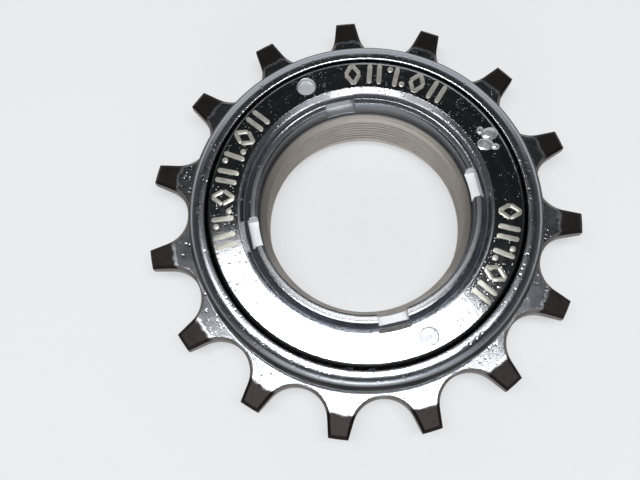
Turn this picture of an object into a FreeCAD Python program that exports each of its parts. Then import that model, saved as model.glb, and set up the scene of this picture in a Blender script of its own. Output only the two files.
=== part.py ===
"""A single speed bicycle freewheel: fifteen teeth, a one-way ratchet and two rows of balls.

The frame: +Z looks out of the visible face, the part rests on its hub side at Z = 0, the axis of
turning is X = Y = 0, and one tooth stands at +Y. Lengths are millimetres and angles are degrees.
"""
import FreeCAD, Part
import math
import os

import Sketcher

# Driving dimensions. Each is one real size, and everything else is worked out from them.
SIZES = {
    # Chain and teeth
    "tooth_count": 15,
    "chain_pitch": 12.7,
    "roller_radius": 3.885,
    "gullet_clearance": 0.05,
    "gullet_radius": 4.65,
    "tooth_taper": 9.7,
    "tooth_rise": 1.96,
    "plate_thickness": 3.0,
    "plate_offset": 0.485,
    "tip_bevel_length": 3.9,
    "tip_bevel_depth": 0.35,
    "tooth_edge_chamfer": 0.45,
    # Hub thread and the mouth of the bore
    "thread_radius": 15.0,
    "thread_pitch": 1.0,
    "mouth_step": 0.6,
    "mouth_depth": 3.25,
    "mouth_slope": 0.7,
    "relief_step": 0.4,
    "relief_depth": 3.0,
    "relief_slope": 0.6,
    "bore_chamfer": 0.3,
    # Core
    "pocket_wall": 1.6,
    "socket_roof": 0.53,
    "flange_thickness": 1.68,
    "flange_rim_gap": 0.42,
    "flange_chamfer": 0.4,
    "drum_rise": 0.38,
    "lip_wall": 1.15,
    "lip_drop": 0.15,
    "lip_chamfer": 0.25,
    "groove_width": 0.75,
    "groove_depth": 0.85,
    # Remover notches
    "notch_count": 4,
    "notch_angle": 8.2,
    "notch_width": 4.3,
    "notch_depth": 2.65,
    "notch_cut": 0.2,
    # Balls and races
    "ball_radius": 1.5875,
    "race_clearance": 0.08,
    # Ratchet
    "ratchet_count": 24,
    "web_thickness": 4.6,
    "ratchet_gap": 0.32,
    "ratchet_depth": 1.15,
    "ratchet_face_lead": 0.5,
    "ratchet_land": 3.5,
    "ratchet_span": 12.5,
    # Pawls
    "pawl_count": 2,
    "pawl_tail_radius": 1.3,
    "socket_clearance": 0.05,
    "socket_opening": 25.0,
    "pawl_shim_gap": 0.4,
    "pawl_side_gap": 0.05,
    "pawl_pocket_rear": 0.23,
    "pawl_tip_angle": 24.0,
    "pawl_tip_gap": 0.1,
    "pawl_heel_drop": 0.705,
    "pawl_heel_inset": 1.1,
    "pawl_neck_angle": 45.0,
    "pawl_root_angle": 170.0,
    "pocket_end_gap": 0.45,
    "pocket_end_lean": 0.33,
    "pocket_floor_near": 1.6,
    "pocket_floor_drop": 1.35,
    # Pawl springs
    "leaf_thickness": 0.25,
    "leaf_width": 2.2,
    "leaf_fold": 1.0,
    "leaf_crotch": 1.0,
    "leaf_floor_gap": 0.375,
    "leaf_pawl_inset": 1.05,
    "leaf_gap": 0.05,
    # Shims and locking ring
    "shim_count": 3,
    "shim_thickness": 0.25,
    "shim_bore_gap": 0.1,
    "shim_rim_gap": 0.23,
    "ring_rim_gap": 0.42,
    "ring_roof": 1.54,
    "ring_crown": 0.5,
    "ring_edge_radius": 0.5,
    "ring_mouth_chamfer": 0.85,
    "pin_hole_radius": 1.4,
    "pin_hole_depth": 1.2,
    "pin_hole_inset": 2.245,
    "pin_hole_angle": 110.0,
    "pin_hole_count": 2,
    # Sprocket boss and rims
    "cup_wall": 2.73,
    "rear_boss_step": 0.7,
    "rear_rim_inset": 1.0,
    "rear_rim_radius": 0.5,
    "rim_drop": 0.35,
    "bead_inner_radius": 0.3,
    "bead_land": 0.3,
    "mouth_lead": 0.33,
    "foot_radius": 0.2,
}

# The metric thread form: half the angle between its flanks, the part of the sharp form's height
# that is cut, and the flat at the root as a part of the pitch.
THREAD_FLANK = 30.0
THREAD_HEIGHT_SHARE = 0.625
THREAD_FLAT_SHARE = 0.125
# How far the thread's cutter reaches in past the crests.
CREST_CLEARANCE = 0.1
# What still counts as nothing when faces and edges are told apart.
NEARLY_NONE = 0.001
# How far a cutting outline runs past the metal that it cuts.
OVERCUT = 1.0
TOOTH_AT = 90.0
FULL_TURN = 360.0
# The side of a pawl's round tail that faces away from its tip. The tail's long arc is split there.
TAIL_BACK = 270.0
# A row of balls is this many short of full, so that the balls have play.
BALLS_LEFT_OUT = 1


class Size:
    """A length or an angle with its value now and the expression that gives it."""

    def __init__(self, value, text):
        self.value = float(value)
        self.text = text

    @staticmethod
    def of(item):
        return item if isinstance(item, Size) else Size(item, "({:.6f})".format(item))

    def joined(self, other, value, sign):
        return Size(value, "({} {} {})".format(self.text, sign, other.text))

    def __add__(self, other):
        other = Size.of(other)
        return self.joined(other, self.value + other.value, "+")

    def __radd__(self, other):
        return Size.of(other) + self

    def __sub__(self, other):
        other = Size.of(other)
        return self.joined(other, self.value - other.value, "-")

    def __rsub__(self, other):
        return Size.of(other) - self

    def __mul__(self, other):
        other = Size.of(other)
        return self.joined(other, self.value * other.value, "*")

    def __rmul__(self, other):
        return Size.of(other) * self

    def __truediv__(self, other):
        other = Size.of(other)
        return self.joined(other, self.value / other.value, "/")

    def __rtruediv__(self, other):
        return Size.of(other) / self

    def __neg__(self):
        return 0.0 - self


def sine(angle):
    """The sine of an angle in degrees."""
    angle = Size.of(angle)
    return Size(math.sin(math.radians(angle.value)), "sin({})".format(angle.text))


def cosine(angle):
    """The cosine of an angle in degrees."""
    angle = Size.of(angle)
    return Size(math.cos(math.radians(angle.value)), "cos({})".format(angle.text))


def polar(radius, angle, centre=(0.0, 0.0)):
    """The point at a radius and an angle about a centre."""
    return centre[0] + radius * cosine(angle), centre[1] + radius * sine(angle)


def turned_about(along, across, angle):
    """A point given along and across a direction through the axis."""
    return along * cosine(angle) - across * sine(angle), along * sine(angle) + across * cosine(angle)


class Corner:
    """A corner of a closed outline. With a bend, the edge that leaves it is an arc of that radius:
    turn +1 has its centre to the left of the way round, and -1 to the right."""

    def __init__(self, place, bend=None, turn=1):
        self.x, self.y = Size.of(place[0]), Size.of(place[1])
        self.bend = Size.of(bend) if bend is not None else None
        self.turn = turn

    def point(self):
        return FreeCAD.Vector(self.x.value, self.y.value, 0)


doc = FreeCAD.newDocument("Freewheel")
sheet = doc.addObject("Spreadsheet::Sheet", "Sizes")
for row, (alias, number) in enumerate(SIZES.items(), start=1):
    sheet.set("A{}".format(row), alias.replace("_", " "))
    sheet.set("B{}".format(row), str(number))
    sheet.setAlias("B{}".format(row), alias)
doc.recompute()


def size(alias):
    """A driving dimension, read from its cell."""
    return Size(getattr(sheet, alias), "Sizes.{}".format(alias))


def bind(item, field, amount):
    """Ties a property to the sheet."""
    item.setExpression(field, Size.of(amount).text)


def arc_edge(start, end, radius, turn):
    """The shorter arc between two points, drawn the way that a sketch stores arcs."""
    chord = end - start
    middle = (start + end) * 0.5
    rise = math.sqrt(max(radius * radius - chord.Length * chord.Length / 4.0, 0.0))
    left = FreeCAD.Vector(-chord.y, chord.x, 0).normalize()
    centre = middle + left * (rise * turn)
    first, last = (start, end) if turn > 0 else (end, start)
    begin = math.atan2(first.y - centre.y, first.x - centre.x)
    finish = math.atan2(last.y - centre.y, last.x - centre.x)
    if finish < begin:
        finish += 2.0 * math.pi
    circle = Part.Circle(centre, FreeCAD.Vector(0, 0, 1), radius)
    return Part.ArcOfCircle(circle, begin, finish)


def plane_of(body, role):
    """One of the body's own origin planes or axes."""
    return next(item for item in body.Origin.OriginFeatures if item.Role == role)


def outline_sketch(body, name, role, corners, height=None):
    """A closed sketch on an origin plane, each corner held by two dimensions tied to the sheet."""
    sketch = body.newObject("Sketcher::SketchObject", name)
    sketch.AttachmentSupport = [(plane_of(body, role), "")]
    sketch.MapMode = "FlatFace"
    if height is not None:
        bind(sketch, ".AttachmentOffset.Base.z", height)
    ends = []
    for index, corner in enumerate(corners):
        start, end = corner.point(), corners[(index + 1) % len(corners)].point()
        if corner.bend is None:
            sketch.addGeometry(Part.LineSegment(start, end))
        else:
            sketch.addGeometry(arc_edge(start, end, corner.bend.value, corner.turn))
        ends.append((1, 2) if corner.bend is None or corner.turn > 0 else (2, 1))
    for index in range(len(corners)):
        after = (index + 1) % len(corners)
        sketch.addConstraint(Sketcher.Constraint("Coincident", index, ends[index][1], after, ends[after][0]))
    for index, corner in enumerate(corners):
        held = [("DistanceX", corner.x), ("DistanceY", corner.y)]
        for kind, amount in held:
            limit = Sketcher.Constraint(kind, -1, 1, index, ends[index][0], amount.value)
            number = sketch.addConstraint(limit)
            bind(sketch, "Constraints[{}]".format(number), amount)
        if corner.bend is not None:
            number = sketch.addConstraint(Sketcher.Constraint("Radius", index, corner.bend.value))
            bind(sketch, "Constraints[{}]".format(number), corner.bend)
    return sketch


def new_body(name):
    """An empty body whose label names its file."""
    body = doc.addObject("PartDesign::Body", name)
    body.Label = name
    return body


def turned_body(name, corners):
    """A body turned about the axis from half of its section, given as radius and height."""
    body = new_body(name)
    section = outline_sketch(body, name + "_section", "XZ_Plane", corners)
    turned = body.newObject("PartDesign::Revolution", name + "_turned")
    turned.Profile = section
    turned.ReferenceAxis = (section, ["V_Axis"])
    turned.Angle = FULL_TURN
    return body


def padded_body(name, corners, base, thickness):
    """A body of constant outline between two heights."""
    body = new_body(name)
    outline = outline_sketch(body, name + "_outline", "XY_Plane", corners, base)
    pad = body.newObject("PartDesign::Pad", name + "_pad")
    pad.Profile = outline
    bind(pad, "Length", thickness)
    return body


def cut_down(body, name, sketch, depth):
    """A pocket that goes down from its sketch, and how much metal the body had before it."""
    doc.recompute()
    before = body.Shape.Volume
    pocket = body.newObject("PartDesign::Pocket", name)
    pocket.Profile = sketch
    bind(pocket, "Length", depth)
    doc.recompute()
    if not body.Shape.Volume < before:
        raise RuntimeError("{} cuts nothing".format(name))
    return pocket


def repeat_round(body, name, feature, count):
    """The same cut all the way round the axis."""
    pattern = body.newObject("PartDesign::PolarPattern", name)
    pattern.Originals = [feature]
    pattern.Axis = (plane_of(body, "Z_Axis"), [""])
    pattern.Angle = FULL_TURN
    bind(pattern, "Occurrences", count)
    body.Tip = pattern
    doc.recompute()
    return pattern


def stands_upright(face):
    """Whether a face runs along the axis of turning."""
    surface = face.Surface
    if isinstance(surface, Part.Plane):
        return abs(surface.Axis.z) < NEARLY_NONE
    return isinstance(surface, Part.Cylinder)


def upright_wall_edges(shape, inner):
    """The names of the edges, from a radius outwards, where an upright wall ends in another face."""
    names = []
    for number, edge in enumerate(shape.Edges, start=1):
        walls = [face for face in shape.ancestorsOfType(edge, Part.Face) if stands_upright(face)]
        ends = [vertex.Point for vertex in edge.Vertexes]
        outside = all(math.hypot(end.x, end.y) > inner.value - NEARLY_NONE for end in ends)
        if len(walls) == 1 and outside:
            names.append("Edge{}".format(number))
    return names


def chamfer_edges(body, name, feature, edges, amount):
    """A chamfer of one width along the named edges of a feature."""
    chamfer = body.newObject("PartDesign::Chamfer", name)
    chamfer.Base = (feature, edges)
    bind(chamfer, "Size", amount)
    body.Tip = chamfer
    return chamfer


# Radii, from the hub thread outwards
thread_height = THREAD_HEIGHT_SHARE * cosine(THREAD_FLANK) * size("thread_pitch")
thread_crest = size("thread_radius") - thread_height
mouth_radius = size("thread_radius") + size("mouth_step")
relief_radius = size("thread_radius") + size("relief_step")
lip_radius = mouth_radius + size("lip_wall")
neck_radius = lip_radius + size("groove_width")
socket_radius = size("pawl_tail_radius") + size("socket_clearance")
pivot_radius = size("thread_radius") + size("pocket_wall") + socket_radius
drum_radius = pivot_radius + socket_radius + size("socket_roof")
race_radius = size("ball_radius") + size("race_clearance")
ball_circle = drum_radius + race_radius
cup_radius = ball_circle + race_radius
boss_radius = cup_radius + size("cup_wall")
flange_rim = cup_radius - size("flange_rim_gap")
ring_rim = cup_radius - size("ring_rim_gap")
ratchet_crest = drum_radius + size("ratchet_gap")
ratchet_root = ratchet_crest + size("ratchet_depth")
pawl_tip_radius = ratchet_crest - size("pawl_tip_gap")
pawl_heel_rise = pawl_tip_radius * sine(size("pawl_tip_angle")) - size("pawl_heel_drop")
pitch_radius = size("chain_pitch") / (2.0 * sine(180.0 / size("tooth_count")))
root_radius = pitch_radius - size("roller_radius") - size("gullet_clearance")
tip_radius = pitch_radius + size("tooth_rise")

# Heights, from the hub side up
rear_balls_height = size("flange_thickness") + race_radius
web_rear = rear_balls_height + race_radius
web_front = web_rear + size("web_thickness")
front_balls_height = web_front + race_radius
plate_rear = web_rear + size("plate_offset")
plate_front = plate_rear + size("plate_thickness")
drum_top = web_front + size("drum_rise")
ring_base = drum_top + size("shim_count") * size("shim_thickness")
ring_roof_under = front_balls_height + race_radius
ring_edge_top = ring_roof_under + size("ring_roof")
ring_top = ring_edge_top + size("ring_crown")
core_top = ring_top - size("lip_drop")
rim_top = ring_edge_top - size("rim_drop")
thread_front = core_top - size("mouth_depth") - size("mouth_slope")
thread_rear = size("relief_depth") + size("relief_slope")
pocket_base = web_rear + size("pawl_pocket_rear")
pawl_base = pocket_base + size("pawl_side_gap")
pawl_width = drum_top - size("pawl_shim_gap") - pawl_base

ball_count = int(math.pi / math.asin((size("ball_radius") / ball_circle).value)) - BALLS_LEFT_OUT


def make_sprocket():
    """The toothed outer body: teeth, both ball cups and the ratchet ring inside, one forging."""
    rear_boss = boss_radius - size("rear_boss_step")
    rear_rim = size("rear_rim_inset")
    rear_round = size("rear_rim_radius")
    lead = size("mouth_lead")
    bevel_start = tip_radius - size("tip_bevel_length")
    bevel = size("tip_bevel_depth")
    foot = size("foot_radius")
    inner = size("bead_inner_radius")
    land_start = cup_radius + inner
    land_end = land_start + size("bead_land")
    outer = boss_radius - land_end
    section = [
        Corner((cup_radius + lead, rear_rim)),
        Corner((rear_boss - rear_round, rear_rim), rear_round),
        Corner((rear_boss, rear_rim + rear_round)),
        Corner((rear_boss, plate_rear)),
        Corner((bevel_start, plate_rear)),
        Corner((tip_radius, plate_rear + bevel)),
        Corner((tip_radius, plate_front - bevel)),
        Corner((bevel_start, plate_front)),
        Corner((boss_radius + foot, plate_front), foot, -1),
        Corner((boss_radius, plate_front + foot)),
        Corner((boss_radius, rim_top - outer), outer),
        Corner((land_end, rim_top)),
        Corner((land_start, rim_top), inner),
        Corner((cup_radius, rim_top - inner)),
        Corner((cup_radius, front_balls_height), race_radius, -1),
        Corner((ball_circle, web_front)),
        Corner((ratchet_crest, web_front)),
        Corner((ratchet_crest, web_rear)),
        Corner((ball_circle, web_rear), race_radius, -1),
        Corner((cup_radius, rear_balls_height)),
        Corner((cup_radius, rear_rim + lead)),
    ]
    body = turned_body("sprocket", section)

    half_step = 180.0 / size("tooth_count")
    gullet_at = TOOTH_AT - half_step
    flank = half_step + size("tooth_taper")
    gullet = size("gullet_radius")
    seat = root_radius + gullet
    reach = tip_radius - root_radius + OVERCUT
    near = seat - gullet * sine(flank)
    side = gullet * cosine(flank)
    far, far_side = near + reach * cosine(flank), side + reach * sine(flank)
    gullet_outline = [
        Corner(turned_about(near, side, gullet_at), gullet, 1),
        Corner(turned_about(root_radius, Size.of(0.0), gullet_at), gullet, 1),
        Corner(turned_about(near, -side, gullet_at)),
        Corner(turned_about(far, -far_side, gullet_at)),
        Corner(turned_about(far, far_side, gullet_at)),
    ]
    sketch = outline_sketch(body, "gullet_outline", "XY_Plane", gullet_outline, plate_front + OVERCUT)
    gullet_cut = cut_down(body, "gullet", sketch, size("plate_thickness") + 2.0 * OVERCUT)
    gullets = repeat_round(body, "gullets", gullet_cut, size("tooth_count"))
    edges = upright_wall_edges(gullets.Shape, root_radius)
    chamfer_edges(body, "tooth_edges", gullets, edges, size("tooth_edge_chamfer"))

    face = size("pawl_tip_angle") + size("ratchet_face_lead")
    inside = ratchet_crest - OVERCUT
    space = [
        Corner(polar(inside, face)),
        Corner(polar(inside, face - size("ratchet_span"))),
        Corner(polar(ratchet_crest, face - size("ratchet_span"))),
        Corner(polar(ratchet_root, face - size("ratchet_land"))),
        Corner(polar(ratchet_root, face)),
    ]
    space.reverse()
    sketch = outline_sketch(body, "ratchet_outline", "XY_Plane", space, web_front)
    ratchet_cut = cut_down(body, "ratchet_space", sketch, size("web_thickness"))
    repeat_round(body, "ratchet", ratchet_cut, size("ratchet_count"))
    return body


def pocket_floor(rise):
    """How far from the axis plane the pocket's floor lies, a given way along the pawl."""
    share = (rise - size("pocket_floor_near")) / (pawl_heel_rise - size("pocket_floor_near"))
    return size("thread_radius") + size("pocket_wall") - size("pocket_floor_drop") * share


def pocket_floor_end():
    """How far along the pawl the pocket's floor runs, just past the pawl's heel."""
    return pawl_heel_rise + size("pocket_end_gap") / 2.0


def cut_thread(body):
    """Cuts the hub thread's groove, a right-hand helix that runs out into the wider bore at each end."""
    pitch = size("thread_pitch")
    start = size("relief_depth") - pitch
    rise = core_top - size("mouth_depth") + pitch - start
    root = THREAD_FLAT_SHARE * pitch / 2.0
    cutter_height = thread_height + CREST_CLEARANCE
    mouth = root + cutter_height * sine(THREAD_FLANK) / cosine(THREAD_FLANK)
    inside = size("thread_radius") - cutter_height
    groove = outline_sketch(body, "thread_groove", "XZ_Plane", [
        Corner((size("thread_radius"), start + root)),
        Corner((inside, start + mouth)),
        Corner((inside, start - mouth)),
        Corner((size("thread_radius"), start - root)),
    ])
    helix = body.newObject("PartDesign::SubtractiveHelix", "hub_thread")
    helix.Profile = groove
    helix.ReferenceAxis = (groove, ["V_Axis"])
    helix.Mode = "pitch-height-angle"
    bind(helix, "Pitch", pitch)
    bind(helix, "Height", rise)
    body.Tip = helix
    doc.recompute()


def make_core():
    """The inner body: hub thread, pawl pockets, rear ball race and the remover notches."""
    chamfer = size("flange_chamfer")
    bore_chamfer = size("bore_chamfer")
    lip_chamfer = size("lip_chamfer")
    section = [
        Corner((relief_radius + bore_chamfer, 0.0)),
        Corner((flange_rim - chamfer, 0.0)),
        Corner((flange_rim, chamfer)),
        Corner((flange_rim, size("flange_thickness"))),
        Corner((ball_circle, size("flange_thickness")), race_radius, -1),
        Corner((drum_radius, rear_balls_height)),
        Corner((drum_radius, drum_top)),
        Corner((neck_radius, drum_top)),
        Corner((neck_radius, core_top - size("groove_depth") - size("groove_width"))),
        Corner((lip_radius, core_top - size("groove_depth"))),
        Corner((lip_radius, core_top - lip_chamfer)),
        Corner((lip_radius - lip_chamfer, core_top)),
        Corner((mouth_radius + lip_chamfer, core_top)),
        Corner((mouth_radius, core_top - lip_chamfer)),
        Corner((mouth_radius, core_top - size("mouth_depth"))),
        Corner((thread_crest, thread_front)),
        Corner((thread_crest, thread_rear)),
        Corner((relief_radius, size("relief_depth"))),
        Corner((relief_radius, bore_chamfer)),
    ]
    body = turned_body("core", section)
    cut_thread(body)

    half_width = size("notch_width") / 2.0
    notch_at = size("notch_angle")
    notch_in, notch_out = mouth_radius - OVERCUT, lip_radius + size("notch_cut")
    notch = [
        Corner(turned_about(notch_in, -half_width, notch_at)),
        Corner(turned_about(notch_out, -half_width, notch_at)),
        Corner(turned_about(notch_out, half_width, notch_at)),
        Corner(turned_about(notch_in, half_width, notch_at)),
    ]
    sketch = outline_sketch(body, "notch_outline", "XY_Plane", notch, core_top)
    notch_cut = cut_down(body, "remover_notch", sketch, size("notch_depth"))
    repeat_round(body, "remover_notches", notch_cut, size("notch_count"))

    pivot = (pivot_radius, Size.of(0.0))
    opening = size("socket_opening")
    tip = pawl_tip()
    end_rise = tip[1] + size("pocket_end_gap")
    floor_end = pocket_floor_end()
    outside = drum_radius + OVERCUT
    pocket = [
        Corner(polar(socket_radius, size("pawl_root_angle"), pivot), socket_radius, 1),
        Corner(polar(socket_radius, TAIL_BACK, pivot), socket_radius, 1),
        Corner(polar(socket_radius, opening, pivot)),
        Corner((outside, socket_radius * sine(opening) + size("socket_roof"))),
        Corner((outside, end_rise + size("pocket_end_lean") * (outside - tip[0]))),
        Corner((tip[0], end_rise)),
        Corner((pocket_floor(floor_end), floor_end)),
        Corner((pocket_floor(size("pocket_floor_near")), size("pocket_floor_near"))),
    ]
    sketch = outline_sketch(body, "pocket_outline", "XY_Plane", pocket, drum_top)
    pocket_cut = cut_down(body, "pawl_pocket", sketch, drum_top - pocket_base)
    repeat_round(body, "pawl_pockets", pocket_cut, size("pawl_count"))
    return body


def pawl_tip():
    """Where the pawl's tip stands while it rides just under the ratchet's crests."""
    return polar(pawl_tip_radius, size("pawl_tip_angle"))


def pawl_heel():
    """The inner corner of the pawl's front face."""
    return pivot_radius - size("pawl_heel_inset"), pawl_heel_rise


def pawl_root():
    """Where the pawl's inner side leaves its round tail."""
    return polar(size("pawl_tail_radius"), size("pawl_root_angle"), (pivot_radius, Size.of(0.0)))


def make_pawl(number):
    """A pawl with a round tail that turns in its socket, in the pose that it has while coasting."""
    pivot = (pivot_radius, Size.of(0.0))
    tail = size("pawl_tail_radius")
    outline = [
        Corner(pawl_root(), tail, 1),
        Corner(polar(tail, TAIL_BACK, pivot), tail, 1),
        Corner(polar(tail, size("pawl_neck_angle"), pivot)),
        Corner(pawl_tip()),
        Corner(pawl_heel()),
    ]
    body = padded_body("pawl_{}".format(number), outline, pawl_base, pawl_width)
    stand_at(body, number)
    return body


def make_leaf(number):
    """The folded leaf that pushes a pawl out: one leg on the pocket's floor, one on the pawl."""
    near = size("pocket_floor_near") + size("leaf_fold")
    crotch = near + size("leaf_crotch")
    floor_end = pocket_floor_end() - size("leaf_floor_gap")
    pawl_end = pawl_heel_rise - size("leaf_pawl_inset")
    root, heel = pawl_root(), pawl_heel()
    slope = (heel[0] - root[0]) / (heel[1] - root[1])

    def pawl_side(rise):
        return root[0] + slope * (rise - root[1]) - size("leaf_gap")

    thick = size("leaf_thickness")
    outline = [
        Corner((pocket_floor(near), near)),
        Corner((pawl_side(near), near)),
        Corner((pawl_side(pawl_end), pawl_end)),
        Corner((pawl_side(pawl_end) - thick, pawl_end)),
        Corner(((pocket_floor(crotch) + pawl_side(crotch)) / 2.0, crotch)),
        Corner((pocket_floor(floor_end) + thick, floor_end)),
        Corner((pocket_floor(floor_end), floor_end)),
    ]
    base = pawl_base + (pawl_width - size("leaf_width")) / 2.0
    body = padded_body("pawl_spring_{}".format(number), outline, base, size("leaf_width"))
    stand_at(body, number)
    return body


def stand_at(body, number):
    """Turns the numbered pawl or spring to its own pocket."""
    body.Placement.Rotation.Axis = FreeCAD.Vector(0, 0, 1)
    turn = FULL_TURN * (number - 1) / size("pawl_count")
    bind(body, ".Placement.Rotation.Angle", turn)


def make_shim(number):
    """A thin washer that sets the play of the ball rows."""
    bore = neck_radius + size("shim_bore_gap")
    rim = drum_radius - size("shim_rim_gap")
    low = drum_top + (number - 1.0) * size("shim_thickness")
    high = drum_top + float(number) * size("shim_thickness")
    return turned_body("shim_{}".format(number), [
        Corner((bore, low)), Corner((rim, low)), Corner((rim, high)), Corner((bore, high))])


def make_locking_ring():
    """The visible face: a ring screwed to the core, with the front ball race under it."""
    edge = size("ring_edge_radius")
    chamfer = size("ring_mouth_chamfer")
    section = [
        Corner((neck_radius, ring_base)),
        Corner((drum_radius, ring_base)),
        Corner((drum_radius, front_balls_height), race_radius, -1),
        Corner((ball_circle, ring_roof_under)),
        Corner((ring_rim, ring_roof_under)),
        Corner((ring_rim, ring_edge_top - edge), edge),
        Corner((ring_rim - edge, ring_edge_top)),
        Corner((neck_radius + chamfer, ring_top)),
        Corner((neck_radius, ring_top - chamfer)),
    ]
    body = turned_body("locking_ring", section)

    hole = size("pin_hole_radius")
    circle = ring_rim - size("pin_hole_inset")
    centre = polar(circle, size("pin_hole_angle"))
    quarter = [Corner(polar(hole, angle, centre), hole, 1) for angle in (0.0, 90.0, 180.0, 270.0)]
    sketch = outline_sketch(body, "pin_hole_outline", "XY_Plane", quarter, ring_top)
    face_start = neck_radius + chamfer
    fall = size("ring_crown") * (circle - face_start) / (ring_rim - edge - face_start)
    hole_cut = cut_down(body, "pin_hole", sketch, size("pin_hole_depth") + fall)
    repeat_round(body, "pin_holes", hole_cut, size("pin_hole_count"))
    return body


def make_ball(name, index, height):
    """One ball of a full row, in its place round the race."""
    ball = doc.addObject("Part::Sphere", name)
    ball.Label = name
    bind(ball, "Radius", size("ball_radius"))
    place = polar(ball_circle, FULL_TURN * (index - 1) / ball_count)
    bind(ball, ".Placement.Base.x", place[0])
    bind(ball, ".Placement.Base.y", place[1])
    bind(ball, ".Placement.Base.z", height)
    return ball


def make_ball_rows():
    """The front row ball by ball, and the rear row as one group of the same balls."""
    numbers = range(1, ball_count + 1)
    front = [make_ball("front_ball_{:02d}".format(index), index, front_balls_height) for index in numbers]
    rear = [make_ball("rear_ball_{:02d}".format(index), index, rear_balls_height) for index in numbers]
    group = doc.addObject("Part::Compound", "rear_balls")
    group.Label = "rear_balls"
    group.Links = rear
    return front + [group]


def check(pieces):
    """Stops if any object failed, or if a piece has no sound shape."""
    for item in doc.Objects:
        if "Invalid" in item.State or "Error" in item.State:
            raise RuntimeError("{} failed: {}".format(item.Name, item.State))
    for piece in pieces:
        if piece.Shape.isNull() or not piece.Shape.isValid() or not piece.Shape.Solids:
            raise RuntimeError("{} has no sound shape".format(piece.Label))


def main():
    pawl_numbers = range(1, int(size("pawl_count").value) + 1)
    pieces = [make_sprocket(), make_core(), make_locking_ring()]
    pieces += [make_shim(number) for number in range(1, int(size("shim_count").value) + 1)]
    pieces += [make_pawl(number) for number in pawl_numbers]
    pieces += [make_leaf(number) for number in pawl_numbers]
    pieces += make_ball_rows()
    doc.recompute()
    check(pieces)
    os.makedirs("parts", exist_ok=True)
    for piece in pieces:
        piece.Shape.exportStep("parts/{}.step".format(piece.Label))
        print("{:16s} {:10.2f} mm3".format(piece.Label, piece.Shape.Volume))


main()
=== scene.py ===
"""Dresses a single speed freewheel: plated steel, soiled teeth, a bare hub thread and a plain studio.

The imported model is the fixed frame, in metres, with +Z out of the visible face and one tooth at +Y.
Sizes written here are millimetres, and MM turns them into the frame's metres.
"""
from __future__ import annotations

import logging
import math
import random
from dataclasses import dataclass, field
from enum import Enum
from typing import Callable, Sequence

import bmesh
import bpy
from mathutils import Matrix, Vector


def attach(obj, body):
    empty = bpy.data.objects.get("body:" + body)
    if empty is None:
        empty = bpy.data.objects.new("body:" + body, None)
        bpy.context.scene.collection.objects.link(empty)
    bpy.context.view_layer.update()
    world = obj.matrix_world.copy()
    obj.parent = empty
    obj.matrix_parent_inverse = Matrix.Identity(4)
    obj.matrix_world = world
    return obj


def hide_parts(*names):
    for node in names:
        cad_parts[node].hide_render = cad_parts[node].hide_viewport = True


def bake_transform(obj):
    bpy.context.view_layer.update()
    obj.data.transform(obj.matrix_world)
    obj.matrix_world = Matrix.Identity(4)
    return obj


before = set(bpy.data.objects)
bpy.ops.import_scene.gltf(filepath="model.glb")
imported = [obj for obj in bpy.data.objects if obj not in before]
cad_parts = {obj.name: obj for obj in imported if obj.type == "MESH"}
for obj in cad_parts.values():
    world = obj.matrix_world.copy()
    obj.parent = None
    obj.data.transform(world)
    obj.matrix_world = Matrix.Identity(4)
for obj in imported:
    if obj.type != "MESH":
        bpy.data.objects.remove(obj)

MM = 0.001
LOG = logging.getLogger("freewheel")
Colour = tuple[float, float, float]
Source = bpy.types.NodeSocket | float | Sequence[float]


class Body(Enum):
    """The moving bodies that the scene's own pieces ride on."""

    CORE = "core_body"


class MarkShape(Enum):
    """The plain raised shapes of the locking ring's face."""

    BAR = "bar"
    DOT = "dot"


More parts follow.
